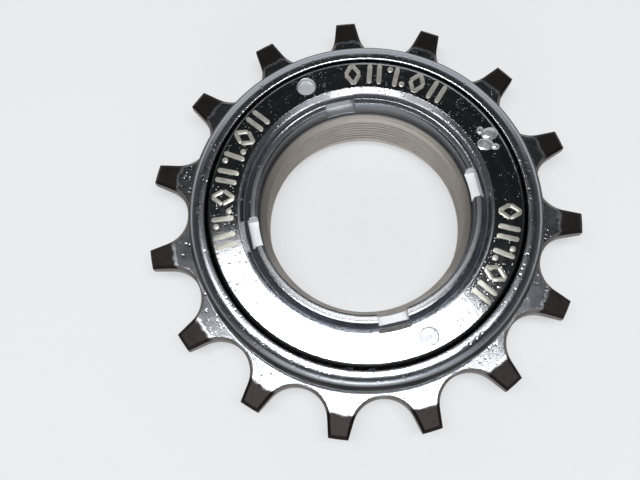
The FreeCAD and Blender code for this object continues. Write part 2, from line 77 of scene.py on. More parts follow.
class Canvas:
    """A node tree being drawn, with short calls for its nodes and links."""

    def __init__(self, tree: bpy.types.NodeTree) -> None:
        """Keeps the tree that the calls draw on."""
        self.tree = tree

    def node(self, kind: str, **settings: object) -> bpy.types.Node:
        """Adds a node.

        Args:
            kind: The node's type name.
            **settings: Properties to set on it.

        Returns:
            The new node.
        """
        node = self.tree.nodes.new(kind)
        for name, value in settings.items():
            setattr(node, name, value)
        return node

    def feed(self, node: bpy.types.Node, socket: str | int, source: Source) -> None:
        """Links a socket to a source, or sets it to a plain value.

        Args:
            node: The node that takes the source.
            socket: The input's name or number.
            source: An output to link, or a value.
        """
        if isinstance(source, bpy.types.NodeSocket):
            self.tree.links.new(source, node.inputs[socket])
        else:
            node.inputs[socket].default_value = source

    def sum_up(self, operation: str, first: Source, second: Source = 0.0, clamp: bool = False) -> Source:
        """One step of arithmetic.

        Args:
            operation: The Math node's operation.
            first: Its first value.
            second: Its second value.
            clamp: Whether the result stays between 0 and 1.

        Returns:
            The result's socket.
        """
        node = self.node("ShaderNodeMath", operation=operation, use_clamp=clamp)
        self.feed(node, 0, first)
        self.feed(node, 1, second)
        return node.outputs[0]

    def spread(self, value: Source, low: Source, high: Source) -> Source:
        """A smooth step from 0 at low to 1 at high.

        Args:
            value: The value to place.
            low: Where the step starts.
            high: Where the step ends.

        Returns:
            The step's socket.
        """
        node = self.node("ShaderNodeMapRange", interpolation_type="SMOOTHSTEP")
        self.feed(node, "Value", value)
        self.feed(node, "From Min", low)
        self.feed(node, "From Max", high)
        return node.outputs["Result"]

    def between(self, share: Source, low: Source, high: Source) -> Source:
        """A value that runs straight from low to high.

        Args:
            share: 0 for low, 1 for high.
            low: The value at 0.
            high: The value at 1.

        Returns:
            The value's socket.
        """
        node = self.node("ShaderNodeMapRange")
        self.feed(node, "Value", share)
        self.feed(node, "To Min", low)
        self.feed(node, "To Max", high)
        return node.outputs["Result"]

    def blend(self, share: Source, low: Source, high: Source) -> Source:
        """A colour between two.

        Args:
            share: 0 for low, 1 for high.
            low: The first colour.
            high: The second colour.

        Returns:
            The colour's socket.
        """
        node = self.node("ShaderNodeMix", data_type="RGBA")
        self.feed(node, 0, share)
        for socket, colour in ((6, low), (7, high)):
            plain = isinstance(colour, tuple) and len(colour) == 3
            self.feed(node, socket, (*colour, 1.0) if plain else colour)
        return node.outputs[2]

    def noise(self, place: Source, scale: Source, detail: float = 2.0, roughness: float = 0.5) -> Source:
        """Cloudy noise between 0 and 1.

        Args:
            place: The coordinates that it follows.
            scale: Its lumps per unit of those coordinates.
            detail: How many finer layers it has.
            roughness: How strong the finer layers are.

        Returns:
            The noise's socket.
        """
        node = self.node("ShaderNodeTexNoise")
        self.feed(node, "Vector", place)
        self.feed(node, "Scale", scale)
        self.feed(node, "Detail", detail)
        self.feed(node, "Roughness", roughness)
        return node.outputs["Fac"]


class Place:
    """Where a shaded point lies on the object, in the frame's metres."""

    def __init__(self, canvas: Canvas) -> None:
        """Draws the coordinates.

        Args:
            canvas: The tree that reads them.
        """
        self.canvas = canvas
        self.point = canvas.node("ShaderNodeTexCoord").outputs["Object"]
        parts = canvas.node("ShaderNodeSeparateXYZ")
        canvas.feed(parts, 0, self.point)
        self.x, self.y, self.z = parts.outputs

    def radius(self) -> Source:
        """The distance from the axis of turning."""
        flat = self.canvas.node("ShaderNodeCombineXYZ")
        self.canvas.feed(flat, 0, self.x)
        self.canvas.feed(flat, 1, self.y)
        length = self.canvas.node("ShaderNodeVectorMath", operation="LENGTH")
        self.canvas.feed(length, 0, flat.outputs[0])
        return length.outputs["Value"]


class Effect:
    """A shader node group that several finishes share, built once and placed with its own values."""

    name: str = "effect"
    inputs: dict[str, float] = {}
    outputs: tuple[str, ...] = ()
    built: dict[str, bpy.types.NodeTree] = {}

    def draw(self, canvas: Canvas, entry: bpy.types.Node) -> dict[str, Source]:
        """Draws the group's inside.

        Args:
            canvas: The group's tree.
            entry: The node that gives its inputs.

        Returns:
            Each output's name and source.
        """
        raise NotImplementedError

    def group(self) -> bpy.types.NodeTree:
        """The group itself, drawn the first time that it is asked for."""
        if self.name in Effect.built:
            return Effect.built[self.name]
        tree = bpy.data.node_groups.new(self.name, "ShaderNodeTree")
        for name, value in self.inputs.items():
            socket = tree.interface.new_socket(name=name, in_out="INPUT", socket_type="NodeSocketFloat")
            socket.default_value = value
        for name in self.outputs:
            tree.interface.new_socket(name=name, in_out="OUTPUT", socket_type="NodeSocketFloat")
        canvas = Canvas(tree)
        entry, leave = canvas.node("NodeGroupInput"), canvas.node("NodeGroupOutput")
        for name, source in self.draw(canvas, entry).items():
            canvas.feed(leave, name, source)
        Effect.built[self.name] = tree
        return tree

    def placed(self, canvas: Canvas, **values: Source) -> dict[str, Source]:
        """Places the group in a material.

        Args:
            canvas: The material's tree.
            **values: Inputs by name, with underscores for spaces.

        Returns:
            Each output's name and socket.
        """
        node = canvas.node("ShaderNodeGroup", node_tree=self.group())
        for name, value in values.items():
            canvas.feed(node, name.replace("_", " "), value)
        return {socket.name: socket for socket in node.outputs}


class Pitting(Effect):
    """Small pits and specks in a plated skin."""

    name = "pitting"
    inputs = {"Size": 0.0004, "Share": 0.5}
    outputs = ("Specks", "Height")

    def draw(self, canvas: Canvas, entry: bpy.types.Node) -> dict[str, Source]:
        """Draws round pits, thinned out in patches, over a faint fine grain.

        Args:
            canvas: The group's tree.
            entry: The node that gives its inputs.

        Returns:
            The specks' mask and the surface's height.
        """
        place = Place(canvas)
        scale = canvas.sum_up("DIVIDE", 1.0, entry.outputs["Size"])
        cells = canvas.node("ShaderNodeTexVoronoi")
        canvas.feed(cells, "Vector", place.point)
        canvas.feed(cells, "Scale", scale)
        round_pits = canvas.spread(cells.outputs["Distance"], 0.34, 0.12)
        patches = canvas.noise(place.point, canvas.sum_up("MULTIPLY", scale, 0.31), 3.0)
        wanted = canvas.sum_up("SUBTRACT", 1.0, entry.outputs["Share"])
        low, high = canvas.sum_up("SUBTRACT", wanted, 0.04), canvas.sum_up("ADD", wanted, 0.06)
        some = canvas.spread(patches, low, high)
        specks = canvas.sum_up("MULTIPLY", round_pits, some)
        grain = canvas.noise(place.point, canvas.sum_up("MULTIPLY", scale, 2.3), 4.0, 0.6)
        height = canvas.sum_up("SUBTRACT", canvas.sum_up("MULTIPLY", grain, 0.35), specks)
        return {"Specks": specks, "Height": height}


class LatheLines(Effect):
    """The fine rings that a turning tool leaves."""

    name = "lathe lines"
    inputs = {"Spacing": 0.00012}
    outputs = ("Height", "Tone")

    def draw(self, canvas: Canvas, entry: bpy.types.Node) -> dict[str, Source]:
        """Draws noise that follows only the radius and the height.

        Args:
            canvas: The group's tree.
            entry: The node that gives its inputs.

        Returns:
            The lines' height and a slower tone.
        """
        place = Place(canvas)
        section = canvas.node("ShaderNodeCombineXYZ")
        canvas.feed(section, 0, place.radius())
        canvas.feed(section, 1, place.z)
        scale = canvas.sum_up("DIVIDE", 1.0, entry.outputs["Spacing"])
        lines = canvas.noise(section.outputs[0], scale, 2.0, 0.6)
        tone = canvas.noise(section.outputs[0], canvas.sum_up("MULTIPLY", scale, 0.14), 1.0)
        return {"Height": lines, "Tone": tone}


class SoilAndShade(Effect):
    """A ragged step outwards from a radius, in patches: grease and dirt on the teeth, painted shade at the
    locking ring's edge.
    """

    name = "soil"
    inputs = {"Start": 0.028, "Full": 0.0295, "Raggedness": 0.0012}
    outputs = ("Mask", "Mottle")

    def draw(self, canvas: Canvas, entry: bpy.types.Node) -> dict[str, Source]:
        """Draws a ragged step by radius and a mottle for its tone.

        Args:
            canvas: The group's tree.
            entry: The node that gives its inputs.

        Returns:
            The soil's mask and its mottle.
        """
        place = Place(canvas)
        rag = canvas.noise(place.point, 900.0, 3.0, 0.6)
        shift = canvas.sum_up("MULTIPLY", canvas.sum_up("SUBTRACT", rag, 0.5), entry.outputs["Raggedness"])
        radius = canvas.sum_up("ADD", place.radius(), shift)
        mask = canvas.spread(radius, entry.outputs["Start"], entry.outputs["Full"])
        mottle = canvas.noise(place.point, 420.0, 4.0, 0.65)
        return {"Mask": mask, "Mottle": mottle}


class EdgeWear(Effect):
    """Edges that hands, chain and tools have rubbed."""

    name = "edge wear"
    inputs = {"Width": 0.0002, "Strength": 1.0}
    outputs = ("Mask",)

    def draw(self, canvas: Canvas, entry: bpy.types.Node) -> dict[str, Source]:
        """Compares a rounded normal with the true one, broken up by noise.

        Args:
            canvas: The group's tree.
            entry: The node that gives its inputs.

        Returns:
            The wear's mask.
        """
        rounded = canvas.node("ShaderNodeBevel", samples=6)
        canvas.feed(rounded, "Radius", entry.outputs["Width"])
        plain = canvas.node("ShaderNodeNewGeometry")
        agree = canvas.node("ShaderNodeVectorMath", operation="DOT_PRODUCT")
        canvas.feed(agree, 0, rounded.outputs["Normal"])
        canvas.feed(agree, 1, plain.outputs["Normal"])
        edge = canvas.spread(agree.outputs["Value"], 0.99, 0.86)
        place = Place(canvas)
        broken = canvas.spread(canvas.noise(place.point, 1400.0, 3.0, 0.6), 0.32, 0.58)
        worn = canvas.sum_up("MULTIPLY", edge, broken)
        return {"Mask": canvas.sum_up("MULTIPLY", worn, entry.outputs["Strength"])}


@dataclass(frozen=True)
class Finish:
    """What every metal finish of the freewheel has: a tint, a polish and a rounding of its edges."""

    name: str
    colour: Colour
    roughness: float
    edge_round: float = 0.12

    def material(self) -> bpy.types.Material:
        """Makes the finish's material.

        Returns:
            The material, with its own nodes.
        """
        material = bpy.data.materials.new(self.name)
        material.use_nodes = True
        tree = material.node_tree
        tree.nodes.clear()
        canvas = Canvas(tree)
        shader = canvas.node("ShaderNodeBsdfPrincipled")
        canvas.feed(canvas.node("ShaderNodeOutputMaterial"), "Surface", shader.outputs[0])
        canvas.feed(shader, "Metallic", 1.0)
        self.dress(canvas, shader)
        material.diffuse_color = (*self.colour, 1.0)
        return material

    def dress(self, canvas: Canvas, shader: bpy.types.Node) -> None:
        """Draws what is special to the finish.

        Args:
            canvas: The material's tree.
            shader: Its surface shader.
        """
        raise NotImplementedError

    @staticmethod
    def roughen(canvas: Canvas, shader: bpy.types.Node, rough: Source,
                duller: Sequence[tuple[Source, float]]) -> None:
        """Feeds the roughness, raised where masks lie.

        Args:
            canvas: The material's tree.
            shader: Its surface shader.
            rough: The roughness under the masks.
            duller: The masks and what each of them adds.
        """
        for mask, more in duller:
            rough = canvas.sum_up("ADD", rough, canvas.sum_up("MULTIPLY", mask, more), clamp=True)
        canvas.feed(shader, "Roughness", rough)

    def bump(self, canvas: Canvas, shader: bpy.types.Node, height: Source, depth: float) -> None:
        """Gives the surface its relief over softly rounded edges.

        Args:
            canvas: The material's tree.
            shader: Its surface shader.
            height: The relief, from 0 to 1.
            depth: How deep a relief of 1 is, in millimetres.
        """
        rounded = canvas.node("ShaderNodeBevel", samples=6)
        canvas.feed(rounded, "Radius", self.edge_round * MM)
        relief = canvas.node("ShaderNodeBump")
        canvas.feed(relief, "Strength", 1.0)
        canvas.feed(relief, "Distance", depth * MM)
        canvas.feed(relief, "Height", height)
        canvas.feed(relief, "Normal", rounded.outputs[0])
        canvas.feed(shader, "Normal", relief.outputs[0])


@dataclass(frozen=True)
class PittedPlate(Finish):
    """What the plated finishes share: small pits with dark specks over wide shallow dents."""

    pit_size: float = 0.42
    pit_share: float = 0.42
    speck_colour: Colour = (0.30, 0.28, 0.27)
    dent_size: float = 0.85
    dent_share: float = 0.52
    dent_weight: float = 1.2
    relief: float = 0.014

    def skin(self, canvas: Canvas) -> tuple[Source, Source]:
        """Draws the pits over the dents.

        Args:
            canvas: The material's tree.

        Returns:
            The specks' mask and the skin's height.
        """
        pits = Pitting().placed(canvas, Size=self.pit_size * MM, Share=self.pit_share)
        dents = Pitting().placed(canvas, Size=self.dent_size * MM, Share=self.dent_share)
        deeper = canvas.sum_up("MULTIPLY", dents["Height"], self.dent_weight)
        return pits["Specks"], canvas.sum_up("ADD", pits["Height"], deeper)


@dataclass(frozen=True)
class PlatedForging(PittedPlate):
    """Bright plate over a forging, soiled on the tooth ends and on the teeth's walls, with painted shade on
    the boss's side and back.
    """

    wear_width: float = 0.22
    wear_strength: float = 0.8
    wall_share: float = 0.92
    flat_soil: float = 0.98
    wall_soil: float = 0.25
    grime_and_shade_metal: float = 0.75
    grime_and_shade_specular: float = 0.15
    soil_start: float = 28.5
    soil_full: float = 29.3
    soil_dark: Colour = (0.006, 0.004, 0.004)
    soil_light: Colour = (0.030, 0.020, 0.018)
    teeth_start: float = 26.35
    wall_colour: Colour = (0.17, 0.15, 0.13)
    side_start: float = 25.05
    side_full: float = 25.5
    side_foot: float = 8.8
    side_top: float = 5.3
    rear_side: float = 24.8
    # Near-black painted shade for the boss's side and the back.
    side_shade_colour: Colour = (0.030, 0.028, 0.028)
    bead_foot: float = 11.3
    bead_roughness: float = 0.04

    def dress(self, canvas: Canvas, shader: bpy.types.Node) -> None:
        """Draws pits, soil, the painted shade of the boss's side and rubbed edges.

        Args:
            canvas: The material's tree.
            shader: Its surface shader.
        """
        specks, skin = self.skin(canvas)
        soil = SoilAndShade().placed(canvas, Start=self.soil_start * MM, Full=self.soil_full * MM)
        wear = EdgeWear().placed(canvas, Width=self.wear_width * MM, Strength=self.wear_strength)
        steep, upright, side, bead = self.regions(canvas)
        brown = canvas.blend(soil["Mottle"], self.soil_dark, self.soil_light)
        colour = canvas.blend(specks, self.colour, self.speck_colour)
        walls = canvas.sum_up("MULTIPLY", steep, self.wall_share)
        colour = canvas.blend(walls, colour, self.wall_colour)
        clear = canvas.between(upright, self.flat_soil, self.wall_soil)
        soiled = canvas.sum_up("MULTIPLY", soil["Mask"], clear)
        colour = canvas.blend(soiled, colour, brown)
        # The boss's side and the back are painted near-black: painted shade.
        canvas.feed(shader, "Base Color", canvas.blend(side, colour, self.side_shade_colour))
        # Soil, walls and the painted shade of the side all dull the reflection below.
        grime_and_side_shade = canvas.sum_up("MAXIMUM", soil["Mask"], canvas.sum_up("MAXIMUM", steep, side))
        rough = canvas.between(soil["Mottle"], self.roughness - 0.05, self.roughness + 0.07)
        duller = ((specks, 0.22), (grime_and_side_shade, 0.28), (bead, self.bead_roughness), (wear["Mask"], 0.06))
        self.roughen(canvas, shader, rough, duller)
        canvas.feed(shader, "Metallic", canvas.between(grime_and_side_shade, 1.0, self.grime_and_shade_metal))
        canvas.feed(shader, "Specular IOR Level", canvas.between(grime_and_side_shade, 0.5, self.grime_and_shade_specular))
        self.bump(canvas, shader, skin, self.relief)

    def regions(self, canvas: Canvas) -> tuple[Source, Source, Source, Source]:
        """Tells the forging's parts from each other by where they lie and which way they face.

        Args:
            canvas: The material's tree.

        Returns:
            The masks of the teeth's walls with their chamfers, of the walls alone, of the boss's side and
            back, which get painted shade, and of its front bead.
        """
        place = Place(canvas)
        radius = place.radius()
        facing = canvas.node("ShaderNodeSeparateXYZ")
        canvas.feed(facing, 0, canvas.node("ShaderNodeNewGeometry").outputs["True Normal"])
        level = canvas.sum_up("ABSOLUTE", facing.outputs[2])
        teeth = canvas.spread(radius, self.teeth_start * MM, (self.teeth_start + 0.1) * MM)
        steep = canvas.sum_up("MULTIPLY", canvas.spread(level, 0.90, 0.74), teeth)
        upright = canvas.sum_up("MULTIPLY", canvas.spread(level, 0.60, 0.40), teeth)
        # Where the painted shade lies: the boss's side above the teeth, and the back.
        out = canvas.spread(radius, self.side_start * MM, self.side_full * MM)
        above = canvas.spread(place.z, self.side_foot * MM, (self.side_foot + 0.3) * MM)
        side = canvas.sum_up("MULTIPLY", out, above)
        behind = canvas.spread(radius, (self.rear_side - 0.2) * MM, (self.rear_side + 0.2) * MM)
        under = canvas.spread(place.z, (self.side_top + 0.1) * MM, (self.side_top - 0.1) * MM)
        side = canvas.sum_up("MAXIMUM", side, canvas.sum_up("MULTIPLY", behind, under))
        bead = canvas.spread(place.z, self.bead_foot * MM, (self.bead_foot + 0.6) * MM)
        return steep, upright, side, bead


@dataclass(frozen=True)
class BrightPlate(PittedPlate):
    """Smooth bright plate over a turned ring, pitted, with painted shade along its outer edge and dull inside
    its holes.
    """

    pit_size: float = 0.36
    pit_share: float = 0.46
    speck_colour: Colour = (0.36, 0.35, 0.34)
    dent_size: float = 0.80
    dent_weight: float = 1.1
    relief: float = 0.012
    line_spacing: float = 0.14
    line_weight: float = 0.12
    soil_start: float = 22.3
    soil_full: float = 22.55
    soil_raggedness: float = 0.25
    # Near-black painted shade along the ring's outer edge beside the groove.
    rim_shade_colour: Colour = (0.030, 0.029, 0.028)
    hole_top: float = 14.2
    hole_roughness: float = 0.40

    def dress(self, canvas: Canvas, shader: bpy.types.Node) -> None:
        """Draws faint turning lines, pits, the painted shade of the outer edge and the holes' dull floors.

        Args:
            canvas: The material's tree.
            shader: Its surface shader.
        """
        specks, skin = self.skin(canvas)
        lines = LatheLines().placed(canvas, Spacing=self.line_spacing * MM)
        # The outer edge beside the groove is painted near-black: painted shade.
        soil = SoilAndShade().placed(canvas, Start=self.soil_start * MM, Full=self.soil_full * MM,
                             Raggedness=self.soil_raggedness * MM)
        colour = canvas.blend(specks, self.colour, self.speck_colour)
        canvas.feed(shader, "Base Color", canvas.blend(soil["Mask"], colour, self.rim_shade_colour))
        place = Place(canvas)
        within = canvas.spread(place.z, (self.hole_top + 0.1) * MM, (self.hole_top - 0.1) * MM)
        rough = canvas.between(lines["Tone"], self.roughness - 0.04, self.roughness + 0.06)
        duller = ((specks, 0.25), (within, self.hole_roughness), (soil["Mask"], 0.30))
        self.roughen(canvas, shader, rough, duller)
        faint = canvas.sum_up("MULTIPLY", lines["Height"], self.line_weight)
        self.bump(canvas, shader, canvas.sum_up("ADD", skin, faint), self.relief)


@dataclass(frozen=True)
class TurnedSteel(Finish):
    """Bare or thinly plated steel with the rings of its turning."""

    line_spacing: float = 0.12
    line_depth: float = 0.010
    stain: Colour = (0.20, 0.17, 0.15)
    stain_share: float = 0.5

    def dress(self, canvas: Canvas, shader: bpy.types.Node) -> None:
        """Draws turning lines and a patchy stain.

        Args:
            canvas: The material's tree.
            shader: Its surface shader.
        """
        lines = LatheLines().placed(canvas, Spacing=self.line_spacing * MM)
        share = self.stained(canvas, Place(canvas))
        canvas.feed(shader, "Base Color", canvas.blend(share, self.colour, self.stain))
        rough = canvas.between(lines["Tone"], self.roughness - 0.05, self.roughness + 0.08)
        self.roughen(canvas, shader, rough, ((share, 0.12),))
        self.bump(canvas, shader, lines["Height"], self.line_depth)

    def stained(self, canvas: Canvas, place: Place) -> Source:
        """Draws where the stain lies.

        Args:
            canvas: The material's tree.
            place: Where the shaded point lies.

        Returns:
            The stain's mask, as strong as the finish has it.
        """
        patches = canvas.spread(canvas.noise(place.point, 260.0, 4.0, 0.6), 0.35, 0.68)
        return canvas.sum_up("MULTIPLY", patches, self.stain_share)


@dataclass(frozen=True)
class ThreadedCore(TurnedSteel):
    """Plated turned steel whose hub thread is bare and grey-brown, with painted shade in its mouth and below
    its lip and a painted glint on its notches.
    """

    thread_colour: Colour = (0.60, 0.56, 0.51)
    thread_stain: Colour = (0.42, 0.37, 0.33)
    thread_roughness: float = 0.38
    thread_wall: float = 15.5
    thread_end: float = 11.5
    mouth_wall: float = 15.9
    mouth_floor: float = 14.5
    # Painted shade for the bore's mouth and, weaker, for everything below the lip.
    mouth_shade_colour: Colour = (0.20, 0.215, 0.245)
    # A painted glint on the notches: near-white and mostly diffuse.
    painted_glint_colour: Colour = (0.90, 0.92, 0.94)
    painted_glint_roughness: float = 0.30
    painted_glint_metal: float = 0.2
    notch_middle: float = 13.25
    full_glint_until: float = 8.0
    faint_glint_from: float = 11.0
    faint_glint_share: float = 0.25

    def dress(self, canvas: Canvas, shader: bpy.types.Node) -> None:
        """Draws the plated turning, the painted shade of the mouth, the notches' painted glint and, inside
        the bore, the bare thread.

        Args:
            canvas: The material's tree.
            shader: Its surface shader.
        """
        lines = LatheLines().placed(canvas, Spacing=self.line_spacing * MM)
        place = Place(canvas)
        radius = place.radius()
        inside = canvas.spread(radius, (self.thread_wall + 0.05) * MM, (self.thread_wall - 0.05) * MM)
        below = canvas.spread(place.z, (self.thread_end + 0.15) * MM, (self.thread_end - 0.15) * MM)
        thread = canvas.sum_up("MULTIPLY", inside, below)
        # Painted shade: the bore's mouth in full, and everything below the lip at 0.6, turn dark bluish.
        mouth = canvas.spread(radius, (self.mouth_wall + 0.1) * MM, (self.mouth_wall - 0.1) * MM)
        sunk = canvas.spread(place.z, (self.mouth_floor + 0.1) * MM, (self.mouth_floor - 0.1) * MM)
        mouth = canvas.sum_up("MAXIMUM", mouth, canvas.sum_up("MULTIPLY", sunk, 0.6))
        above = canvas.sum_up("SUBTRACT", 1.0, below)
        # The notches above the thread get a painted glint.
        painted_glint = canvas.sum_up("MULTIPLY", self.notches(canvas, place), above)
        share = self.stained(canvas, place)
        plated = canvas.blend(share, self.colour, self.stain)
        plated = canvas.blend(mouth, plated, self.mouth_shade_colour)
        plated = canvas.blend(painted_glint, plated, self.painted_glint_colour)
        bare = canvas.blend(share, self.thread_colour, self.thread_stain)
        canvas.feed(shader, "Base Color", canvas.blend(thread, plated, bare))
        rough = canvas.between(lines["Tone"], self.roughness - 0.05, self.roughness + 0.08)
        bare_more = self.thread_roughness - self.roughness
        duller = ((share, 0.10), (thread, bare_more), (painted_glint, self.painted_glint_roughness))
        self.roughen(canvas, shader, rough, duller)
        canvas.feed(shader, "Metallic", canvas.between(painted_glint, 1.0, self.painted_glint_metal))
        self.bump(canvas, shader, lines["Height"], self.line_depth)

    def notches(self, canvas: Canvas, place: Place) -> Source:
        """Finds the notches: faces that look round the axis, and level ones below the lip.

        They get a painted glint, in full on all of them but the one at +Y, which gets a quarter of it.

        Args:
            canvas: The material's tree.
            place: Where the shaded point lies.

        Returns:
            The painted glint's mask.
        """
        round_it = canvas.node("ShaderNodeVectorMath", operation="CROSS_PRODUCT")
        canvas.feed(round_it, 0, (0.0, 0.0, 1.0))
        canvas.feed(round_it, 1, place.point)
        heading = canvas.node("ShaderNodeVectorMath", operation="NORMALIZE")
        canvas.feed(heading, 0, round_it.outputs[0])
        agree = canvas.node("ShaderNodeVectorMath", operation="DOT_PRODUCT")
        canvas.feed(agree, 0, heading.outputs[0])
        facing = canvas.node("ShaderNodeNewGeometry").outputs["True Normal"]
        canvas.feed(agree, 1, facing)
        sides = canvas.spread(canvas.sum_up("ABSOLUTE", agree.outputs["Value"]), 0.55, 0.80)
        parts = canvas.node("ShaderNodeSeparateXYZ")
        canvas.feed(parts, 0, facing)
        low = canvas.spread(place.z, (self.notch_middle + 0.05) * MM, (self.notch_middle - 0.05) * MM)
        floors = canvas.sum_up("MULTIPLY", canvas.spread(parts.outputs[2], 0.90, 0.95), low)
        # The painted glint fades to a quarter on the notch at +Y.
        grimy = canvas.spread(place.y, self.full_glint_until * MM, self.faint_glint_from * MM)
        rubbed = canvas.between(grimy, 1.0, self.faint_glint_share)
        return canvas.sum_up("MULTIPLY", canvas.sum_up("MAXIMUM", sides, floors), rubbed)


@dataclass(frozen=True)
class GreasedBall(Finish):
    """Bearing steel under a film of old grease."""

    grease: Colour = (0.11, 0.09, 0.075)

    def dress(self, canvas: Canvas, shader: bpy.types.Node) -> None:
        """Draws a cloudy film.

        Args:
            canvas: The material's tree.
            shader: Its surface shader.
        """
        place = Place(canvas)
        film = canvas.noise(place.point, 800.0, 3.0)
        canvas.feed(shader, "Base Color", canvas.blend(film, self.colour, self.grease))
        canvas.feed(shader, "Roughness", canvas.between(film, self.roughness, self.roughness + 0.15))
        self.bump(canvas, shader, film, 0.004)


@dataclass(frozen=True)
class WornMark(Finish):
    """The raised marks' tops, rubbed to a dull warm grey."""

    def dress(self, canvas: Canvas, shader: bpy.types.Node) -> None:
        """Draws a mottled tone and a fine grain.

        Args:
            canvas: The material's tree.
            shader: Its surface shader.
        """
        place = Place(canvas)
        mottle = canvas.noise(place.point, 1100.0, 3.0, 0.6)
        dim = tuple(0.55 * part for part in self.colour)
        canvas.feed(shader, "Base Color", canvas.blend(mottle, dim, self.colour))
        canvas.feed(shader, "Metallic", 0.75)
        canvas.feed(shader, "Roughness", canvas.between(mottle, self.roughness - 0.08, self.roughness + 0.12))
        self.bump(canvas, shader, mottle, 0.02)


class Finishes:
    """One material for each finish, made when it is first wanted."""

    PLATE = PlatedForging("sprocket plate", (0.50, 0.53, 0.57), 0.16)
    RING = BrightPlate("locking ring plate", (0.58, 0.60, 0.63), 0.11)
    MARKS = WornMark("face mark plate", (0.80, 0.78, 0.70), 0.38, 0.05)
    BURRS = WornMark("burr plate", (0.90, 0.91, 0.93), 0.24, 0.05)
    CORE = ThreadedCore("core plate", (0.50, 0.52, 0.55), 0.20, 0.08)
    SHIM = TurnedSteel("shim steel", (0.45, 0.45, 0.46), 0.30, 0.02)
    HARDENED = TurnedSteel("hardened steel", (0.26, 0.26, 0.28), 0.32, 0.05)
    SPRING = TurnedSteel("spring steel", (0.28, 0.32, 0.42), 0.28, 0.02, stain=(0.30, 0.24, 0.16))
    BALL = GreasedBall("ball steel", (0.26, 0.24, 0.21), 0.30, 0.02)

    def __init__(self) -> None:
        """Starts with no materials made."""
        self.made: dict[str, bpy.types.Material] = {}

    def of(self, finish: Finish) -> bpy.types.Material:
        """The finish's material.

        Args:
            finish: The finish that is wanted.

        Returns:
            Its material, the same one each time.
        """
        if finish.name not in self.made:
            self.made[finish.name] = finish.material()
        return self.made[finish.name]

    def coat(self, node: str, finish: Finish) -> None:
        """Gives a CAD node its finish.

        Args:
            node: The node's name.
            finish: What it is coated with.
        """
        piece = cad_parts[node]
        for slot in piece.material_slots:
            slot.material = self.of(finish)
        LOG.info("%s: %s", node, finish.name)


def new_piece(name: str, build: Callable[[bmesh.types.BMesh], None], finish: Finish, finishes: Finishes,
              body: Body) -> bpy.types.Object:
    """Makes a piece of the scene and lets it ride.

    Args:
        name: The piece's name.
        build: Fills the mesh.
        finish: The piece's finish.
        finishes: Where its material comes from.
        body: The body that it rides on.

    Returns:
        The new object.
    """
    mesh = bpy.data.meshes.new(name)
    work = bmesh.new()
    build(work)
    bmesh.ops.recalc_face_normals(work, faces=work.faces)
    work.to_mesh(mesh)
    work.free()
    mesh.shade_smooth()
    mesh.set_sharp_from_angle(angle=math.radians(32.0))
    mesh.materials.append(finishes.of(finish))
    piece = bpy.data.objects.new(name, mesh)
    bpy.context.scene.collection.objects.link(piece)
    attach(piece, body.value)
    LOG.info("%s: %d faces on %s", name, len(mesh.polygons), body.value)
    return piece


@dataclass
class Core:
    """The threaded inner body."""

    def dress(self, finishes: Finishes) -> None:
        """Coats the core.

        Args:
            finishes: Where its material comes from.
        """
        finishes.coat("core", Finishes.CORE)


def round_the_clock(count: int) -> list[float]:
    """Evenly spaced angles round a circle, in radians."""
    return [2.0 * math.pi * index / count for index in range(count)]


@dataclass(frozen=True)
class Stroke:
    """One raised part of a mark, measured in millimetres from the mark's middle and turned in degrees."""

    shape: MarkShape
    length: float
    width: float
    out: float = 0.0
    across: float = 0.0
    turn: float = 0.0

    def outline(self) -> list[tuple[float, float]]:
        """The part's outline about its own middle.

        Returns:
            Its corners in order, as distances along and across the radius.
        """
        half, wide = self.length / 2.0, self.width / 2.0
        if self.shape is MarkShape.DOT:
            return [(half * math.cos(angle), wide * math.sin(angle)) for angle in round_the_clock(14)]
        ends = []
        for middle, start in ((half - wide, -90.0), (wide - half, 90.0)):
            for step in range(7):
                angle = math.radians(start + 30.0 * step)
                ends.append((middle + wide * math.cos(angle), wide * math.sin(angle)))
        return ends

    def place(self, x: float, y: float) -> tuple[float, float]:
        """Turns and moves a point of the outline to its place in the mark."""
        turn = math.radians(self.turn)
        along = x * math.cos(turn) - y * math.sin(turn)
        aside = x * math.sin(turn) + y * math.cos(turn)
        return self.out + along, self.across + aside


@dataclass(frozen=True)
class Burr:
    """One low dome of metal thrown up by a punch."""

    radius: float
    angle: float
    size: float


def lozenge(length: float, width: float, bar: float) -> tuple[Stroke, ...]:
    """A hollow lozenge of four bars.

    Args:
        length: Its length along the radius.
        width: Its width across.
        bar: The width of its bars.

    Returns:
        The four bars.
    """
    side = math.hypot(length, width) / 2.0
    slope = math.degrees(math.atan2(width, length))
    return tuple(
        Stroke(MarkShape.BAR, side, bar, out * length / 4.0, across * width / 4.0, -out * across * slope)
        for out in (-1.0, 1.0) for across in (-1.0, 1.0)
    )


